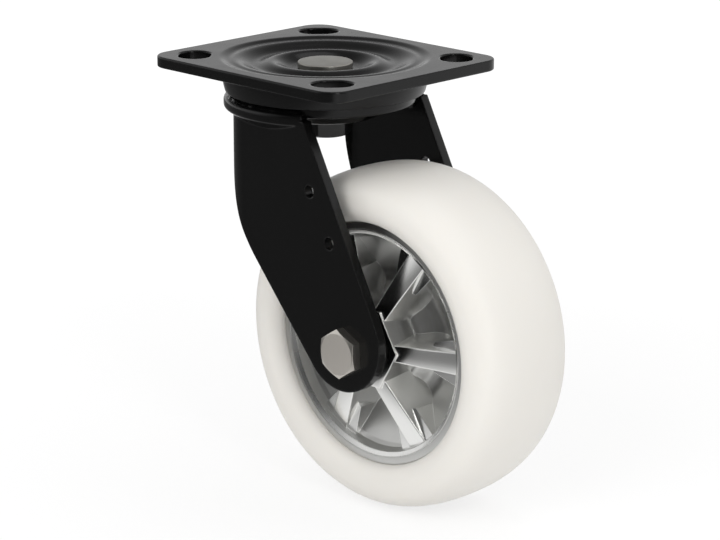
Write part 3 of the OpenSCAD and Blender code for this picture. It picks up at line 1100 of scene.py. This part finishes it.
    def rib(self, index: int, face: int) -> BMesh:
        """Builds one rib: sloping top, drafted sides and a gusset on each side of its rim end.

        Args:
            index: Place of the rib round the hub.
            face: 1 for the near side, -1 for the far side.

        Returns:
            The rib's mesh.
        """
        r1, bend, r2 = 12.0, 17.0, self.rim_r - 3.6
        top1, top2, low = self.hub_w / 2 - 0.8, self.rim_w / 2 - 4.0, self.web_t / 2 - 1.0
        w1, w2 = self.rib_hub_w / 2, self.rib_rim_w / 2
        lean = math.tan(math.radians(self.rib_draft))

        def section(r: float, z: float | None = None) -> Point:
            """Returns the half width and the height of the rib at a radius, at its top or at a height."""
            high = top1 + (top2 - top1) * max(0.0, r - bend) / (r2 - bend)
            half = w1 + (w2 - w1) * max(0.0, r - bend) / (r2 - bend)
            return (half, high) if z is None else (half + (high - z) * lean, z)

        def rule(co: Vector) -> Sequence[float]:
            """Places one corner of the block."""
            r = r1 if co.x < -0.5 else (r2 if co.x > 0.5 else bend)
            half, z = section(r, None if co.z > 0 else low)
            return r, math.copysign(half, co.y), z

        bm = bmesh.new()
        bmesh.ops.create_cube(bm, size=2.0)
        geom: list[Any] = [*bm.verts, *bm.edges, *bm.faces]
        bmesh.ops.bisect_plane(bm, geom=geom, dist=1e-4, plane_co=(0, 0, 0), plane_no=(1, 0, 0))
        reshape(bm, rule)
        tops = [e for e in bm.edges if all(v.co.z > low + 0.1 for v in e.verts)]
        ridge = [e for e in tops if len({v.co.y > 0 for v in e.verts}) == 1]
        bevel(clean(bm), ridge, 0.5, 3)
        foot = self.web_t / 2 + 3.0
        mid = Vector((33.0, *section(33.0, foot)))
        far, near = Vector((r2, w2 + 6.5, top2 - 1.5)), Vector((r2, w2, top2))
        join(bm, *[self.gusset(mid, far, near, side) for side in (1, -1)])
        turn = Matrix.Rotation(math.radians(self.rib_turn + 360.0 * index / self.ribs), 3, "Z")
        bmesh.ops.rotate(bm, verts=bm.verts, cent=(0, 0, 0), matrix=turn)
        if face < 0:
            bmesh.ops.scale(bm, vec=(1, 1, -1), verts=bm.verts)
            bmesh.ops.reverse_faces(bm, faces=bm.faces)
        return bm

    def centre(self) -> BMesh:
        """Builds the whole die-cast centre; its rim faces carry the turned finish."""
        rim = self.rim()
        for face in rim.faces:
            spot = face.calc_center_median()
            out = self.rim_r - spot.xy.length
            face.material_index = 0 if out > self.turned_in else (1 if out > self.groove_in else 2)
        # The hub and ribs take the lighter cast finish as painted highlight; the rim's pocket faces keep the
        # darker one as painted shade.
        plane = join(self.hub(), *[self.rib(i, f) for f in (1, -1) for i in range(self.ribs)])
        for face in plane.faces:
            face.material_index = 3
        return self.to_axle(join(rim, plane))

    def build(self, frame: dict[str, Any]) -> None:
        """Builds and dresses the wheel.

        Args:
            frame: The loaded frame.
        """
        add_piece(self.tyre(), "solid_tyre", NYLON, Body.WHEEL, ["tyre"])
        add_piece(
            self.centre(), "spoked_centre", CAST, Body.WHEEL, ["wheel_centre"], smooth=28.0,
            more=[TURNED, BAND, LIT_RIBS], flat=3,
        )
        for end in ("near", "far"):
            dress_node(frame, f"bearing_outer_{end}", GROUND)
            dress_node(frame, f"bearing_balls_{end}", GROUND)
            dress_node(frame, f"bearing_seal_{end}", RUBBER)


@dataclass
class Studio:
    """White sweep, soft lamps and the camera of the photograph."""

    floor_z: float = -190.0
    azimuth: float = 45.202
    elevation: float = 17.13
    target_z: float = -115.14
    distance: float = 1168.6
    lens: float = 130.5
    shift: Point = (0.0483, 0.0545)
    room_level: float = 0.60
    front_cosines: Point = (0.1, 0.6)
    front_least: float = 0.08
    high_way: Sequence[float] = (-0.35, 0.35, 0.87)
    high_cosines: Point = (0.50, 0.93)
    high_least: float = 0.20
    fade_way: Sequence[float] = (-0.55, -0.83, 0.0)
    fade_m: Point = (0.05, 0.15)
    fade_levels: Point = (0.95, 0.08)
    rise_m: Point = (0.25, 1.1)
    rise_levels: Point = (1.08, 1.3)
    seen_share: float = 0.68
    glossy_share: float = 0.86

    def seen(self, tree: bpy.types.NodeTree) -> bpy.types.NodeSocket:
        """Adds a factor that is 1 for rays that show the background.

        Args:
            tree: Node tree that gets the nodes.

        Returns:
            The factor.
        """
        path = add_node(tree, "ShaderNodeLightPath")
        most = {"operation": "MAXIMUM"}
        kinds = ("Camera", "Transmission", "Glossy")
        eye, through, glossy = (path.outputs[f"Is {kind} Ray"] for kind in kinds)
        either = add_node(tree, "ShaderNodeMath", most, i0=eye, i1=through)
        return add_node(tree, "ShaderNodeMath", most, i0=either.outputs[0], i1=glossy).outputs[0]

    def whole(
        self,
        tree: bpy.types.NodeTree,
        level: bpy.types.NodeSocket,
        straight: bpy.types.NodeSocket | float = 1.0,
    ) -> bpy.types.NodeSocket:
        """Adds a level that stays full for the camera itself.

        Args:
            tree: Node tree that gets the nodes.
            level: Level for the other rays.
            straight: Level for the camera.

        Returns:
            The level.
        """
        path = add_node(tree, "ShaderNodeLightPath")
        full = add_node(
            tree, "ShaderNodeMath", {"operation": "MULTIPLY"}, i0=path.outputs["Is Camera Ray"], i1=straight
        )
        return add_node(
            tree, "ShaderNodeMath", {"operation": "MAXIMUM"}, i0=full.outputs[0], i1=level
        ).outputs[0]

    def dimmed(
        self, tree: bpy.types.NodeTree, towards: Sequence[float], cosines: Point, least: float
    ) -> bpy.types.NodeSocket:
        """Adds a level that falls from 1 to a least value towards one direction.

        Args:
            tree: Node tree that gets the nodes.
            towards: Direction of the dark part of the room.
            cosines: Cosines at which the fall starts and ends.
            least: Level in the dark part.

        Returns:
            The level.
        """
        dot = {"operation": "DOT_PRODUCT"}
        way = add_node(tree, "ShaderNodeTexCoord").outputs["Generated"]
        facing = add_node(tree, "ShaderNodeVectorMath", dot, i0=way, i1=tuple(towards))
        return add_node(
            tree,
            "ShaderNodeMapRange",
            Value=facing.outputs["Value"],
            From_Min=cosines[0],
            From_Max=cosines[1],
            To_Min=1.0,
            To_Max=least,
        ).outputs[0]

    def floor(self) -> None:
        """Lays a pale floor that keeps a soft shadow."""
        bm = bmesh.new()
        bmesh.ops.create_grid(bm, x_segments=1, y_segments=1, size=4.0)
        bmesh.ops.translate(bm, verts=bm.verts, vec=(0, 0, self.floor_z * MM))
        mesh = bpy.data.meshes.new("floor")
        bm.to_mesh(mesh)
        bm.free()
        made = bpy.data.objects.new("floor", mesh)
        bpy.context.scene.collection.objects.link(made)
        material, tree = new_material("white_sweep")
        paper = add_node(tree, "ShaderNodeBsdfDiffuse", Color=linear("#f7f7f7"))
        spot = add_node(tree, "ShaderNodeTexCoord").outputs["Object"]
        dot, product = {"operation": "DOT_PRODUCT"}, {"operation": "MULTIPLY"}
        ahead = add_node(tree, "ShaderNodeVectorMath", dot, i0=spot, i1=tuple(self.fade_way))
        level = add_node(
            tree,
            "ShaderNodeMapRange",
            Value=ahead.outputs["Value"],
            From_Min=self.fade_m[0],
            From_Max=self.fade_m[1],
            To_Min=self.fade_levels[0],
            To_Max=self.fade_levels[1],
        )
        reach = add_node(tree, "ShaderNodeVectorMath", {"operation": "LENGTH"}, i0=spot)
        rising = add_node(
            tree,
            "ShaderNodeMapRange",
            Value=reach.outputs["Value"],
            From_Min=self.rise_m[0],
            From_Max=self.rise_m[1],
            To_Min=self.rise_levels[0],
            To_Max=self.rise_levels[1],
        )
        glow = add_node(
            tree,
            "ShaderNodeEmission",
            Color=(1, 1, 1, 1),
            Strength=self.whole(tree, level.outputs[0], rising.outputs[0]),
        )
        path = add_node(tree, "ShaderNodeLightPath")
        part = add_node(tree, "ShaderNodeMath", product, i0=self.seen(tree), i1=self.seen_share)
        glossy = path.outputs["Is Glossy Ray"]
        shine = add_node(tree, "ShaderNodeMath", product, i0=glossy, i1=self.glossy_share)
        share = add_node(
            tree, "ShaderNodeMath", {"operation": "MAXIMUM"}, i0=part.outputs[0], i1=shine.outputs[0]
        )
        mixed = add_node(
            tree, "ShaderNodeMixShader", i0=share.outputs[0], i1=paper.outputs[0], i2=glow.outputs[0]
        )
        add_node(tree, "ShaderNodeOutputMaterial", Surface=mixed.outputs[0])
        mesh.materials.append(material)

    def world(self) -> None:
        """Sets a white background, dimmer in reflections of the front and the top, and room light."""
        made = bpy.data.worlds.new("studio")
        bpy.context.scene.world = made
        made.use_nodes = True
        tree = made.node_tree
        tree.nodes.clear()
        turn = math.radians(self.azimuth)
        front = (math.sin(turn), -math.cos(turn), 0.0)
        ahead = self.dimmed(tree, front, self.front_cosines, self.front_least)
        above = self.dimmed(tree, self.high_way, self.high_cosines, self.high_least)
        level = add_node(tree, "ShaderNodeMath", {"operation": "MULTIPLY"}, i0=ahead, i1=above)
        room = add_node(tree, "ShaderNodeBackground", Color=(1, 1, 1, 1), Strength=self.room_level)
        white = add_node(
            tree, "ShaderNodeBackground", Color=(1, 1, 1, 1), Strength=self.whole(tree, level.outputs[0])
        )
        mixed = add_node(
            tree, "ShaderNodeMixShader", i0=self.seen(tree), i1=room.outputs[0], i2=white.outputs[0]
        )
        add_node(tree, "ShaderNodeOutputWorld", Surface=mixed.outputs[0])

    def lamp(
        self, name: str, place: Sequence[float], size: Point, power: float, glossy: bool = True
    ) -> None:
        """Hangs a soft box that points at the castor.

        Args:
            name: Name of the lamp.
            place: Place in metres.
            size: Width and height in metres.
            power: Power in watts.
            glossy: Whether the box itself shows in reflections.
        """
        data = bpy.data.lights.new(name, "AREA")
        data.shape = "RECTANGLE"
        data.size, data.size_y = size
        data.energy = power
        made = bpy.data.objects.new(name, data)
        made.visible_glossy = glossy
        aim = Vector((0.03, 0.0, -0.1)) - Vector(place)
        made.matrix_world = Matrix.Translation(place) @ aim.to_track_quat("-Z", "Y").to_matrix().to_4x4()
        bpy.context.scene.collection.objects.link(made)

    def camera(self) -> None:
        """Places the camera where the photograph was taken from."""
        a, e = math.radians(self.azimuth), math.radians(self.elevation)
        back = Vector((math.sin(a) * math.cos(e), -math.cos(a) * math.cos(e), math.sin(e)))
        right = Vector((math.cos(a), math.sin(a), 0.0))
        spot = (Vector((0, 0, self.target_z)) + back * self.distance) * MM
        data = bpy.data.cameras.new("camera")
        data.lens, data.sensor_width = self.lens, 36.0
        data.shift_x, data.shift_y = self.shift
        data.clip_start, data.clip_end = 0.05, 50.0
        made = bpy.data.objects.new("camera", data)
        turn = Matrix((right, back.cross(right), back)).transposed().to_4x4()
        made.matrix_world = Matrix.Translation(spot) @ turn
        bpy.context.scene.collection.objects.link(made)
        bpy.context.scene.camera = made

    def build(self) -> None:
        """Sets up the whole studio."""
        self.floor()
        self.world()
        self.lamp("key", (0.2, -1.25, 0.65), (0.8, 0.8), 5.6, False)
        self.lamp("fill", (1.2, -0.45, 0.45), (0.3, 1.2), 4.0)
        self.lamp("top", (0.1, 0.3, 1.3), (1.2, 1.2), 4.2)
        self.camera()
        bpy.context.scene.view_settings.view_transform = "Standard"


def main() -> None:
    """Builds the castor's looks in order."""
    logging.basicConfig(level=logging.INFO, format="%(name)s %(message)s")
    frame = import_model()
    SwivelHead().build(frame)
    Fork().build(frame)
    Wheel().build(frame)
    Studio().build()
    bpy.context.view_layer.update()


if __name__ == "__main__":
    main()
